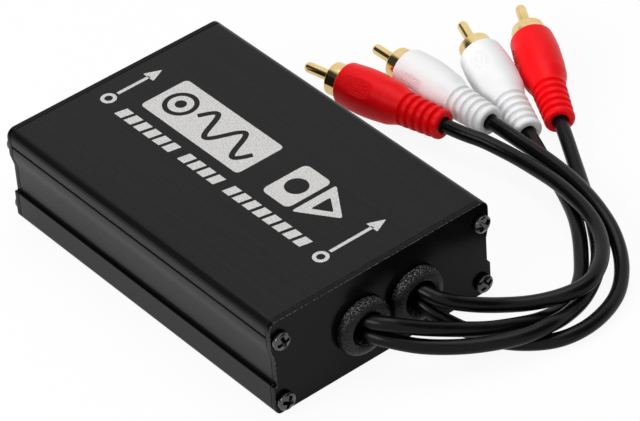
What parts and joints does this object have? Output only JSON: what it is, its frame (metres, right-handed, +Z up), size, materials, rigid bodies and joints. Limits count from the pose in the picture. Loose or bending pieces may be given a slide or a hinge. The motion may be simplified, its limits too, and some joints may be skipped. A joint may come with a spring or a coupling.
{
  "type": "ground loop isolator",
  "caption": "Flat black extruded aluminium box with screwed end plates, short RCA input leads from rubber grommets at one end and RCA output sockets at the other.",
  "frame": {"origin": "centre of the case's underside", "axes": "+Z up from the underside, +Y from the lead end to the socket end, +X to the right seen from the lead end"},
  "size_m": [0.1578, 0.1558, 0.0304],
  "materials": {
    "black_anodised": "satin black anodised",
    "black_zinc": "semi-gloss black",
    "black_rubber": "satin",
    "cable_jacket": "satin",
    "red_boot": "semi-gloss",
    "white_boot": "semi-gloss",
    "gold_plate": "polished gold plate",
    "red_insulator": "satin",
    "white_insulator": "satin",
    "socket_block": "satin",
    "board_laminate": "semi-gloss",
    "core_steel": "varnished laminations",
    "bobbin_nylon": "satin",
    "winding_tape": "amber tape over copper wire"
  },
  "bodies": {
    "root": {"bottom_shell": "black_anodised", "cable_1": "cable_jacket", "cable_2": "cable_jacket", "cable_3": "cable_jacket", "cable_4": "cable_jacket", "circuit_board": "board_laminate", "grommet_left": "black_rubber", "grommet_right": "black_rubber", "input_end_plate": "black_anodised", "input_screw_lower_left": "black_zinc", "input_screw_lower_right": "black_zinc", "input_screw_upper_left": "black_zinc", "input_screw_upper_right": "black_zinc", "output_end_plate": "black_anodised", "output_screw_lower_left": "black_zinc", "output_screw_lower_right": "black_zinc", "output_screw_upper_left": "black_zinc", "output_screw_upper_right": "black_zinc", "plug_1_boot": "red_boot", "plug_1_collar": "gold_plate", "plug_1_insulator": "white_insulator", "plug_1_pin": "gold_plate", "plug_2_boot": "white_boot", "plug_2_collar": "gold_plate", "plug_2_insulator": "white_insulator", "plug_2_pin": "gold_plate", "plug_3_boot": "white_boot", "plug_3_collar": "gold_plate", "plug_3_insulator": "white_insulator", "plug_3_pin": "gold_plate", "plug_4_boot": "red_boot", "plug_4_collar": "gold_plate", "plug_4_insulator": "white_insulator", "plug_4_pin": "gold_plate", "socket_1_contact": "gold_plate", "socket_1_insulator": "white_insulator", "socket_1_sleeve": "gold_plate", "socket_2_contact": "gold_plate", "socket_2_insulator": "red_insulator", "socket_2_sleeve": "gold_plate", "socket_3_contact": "gold_plate", "socket_3_insulator": "white_insulator", "socket_3_sleeve": "gold_plate", "socket_4_contact": "gold_plate", "socket_4_insulator": "red_insulator", "socket_4_sleeve": "gold_plate", "socket_block": "socket_block", "top_shell": "black_anodised", "transformer_1_bobbin": "bobbin_nylon", "transformer_1_core": "core_steel", "transformer_1_winding": "winding_tape", "transformer_2_bobbin": "bobbin_nylon", "transformer_2_core": "core_steel", "transformer_2_winding": "winding_tape", "transformer_3_bobbin": "bobbin_nylon", "transformer_3_core": "core_steel", "transformer_3_winding": "winding_tape", "transformer_4_bobbin": "bobbin_nylon", "transformer_4_core": "core_steel", "transformer_4_winding": "winding_tape"}
  },
  "joints": []
}
